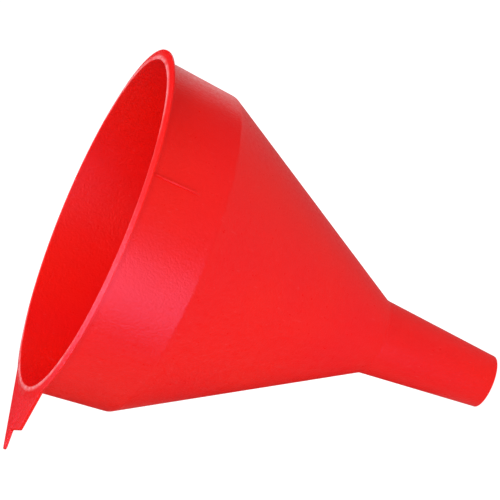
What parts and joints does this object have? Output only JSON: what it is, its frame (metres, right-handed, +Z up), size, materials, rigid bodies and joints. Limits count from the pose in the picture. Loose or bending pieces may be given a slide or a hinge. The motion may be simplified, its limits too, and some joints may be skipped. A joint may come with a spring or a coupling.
{
  "type": "funnel",
  "caption": "Conical plastic pouring funnel with a steep collar, rolled lip, tapered round spout, flat hanging tab with a stepped hook end, and slim stacking ribs.",
  "frame": {"origin": "centre of the outlet's end face, on the funnel's axis", "axes": "+Z up along the funnel's axis towards the mouth, -X towards the hanging tab"},
  "size_m": [0.2295, 0.2, 0.24],
  "materials": {
    "red_plastic": "satin moulded polyethylene"
  },
  "bodies": {
    "root": {"rim_lip": "red_plastic", "collar": "red_plastic", "cone": "red_plastic", "spout": "red_plastic", "hang_tab": "red_plastic", "stacking_rib_near": "red_plastic", "stacking_rib_far": "red_plastic"}
  },
  "joints": []
}
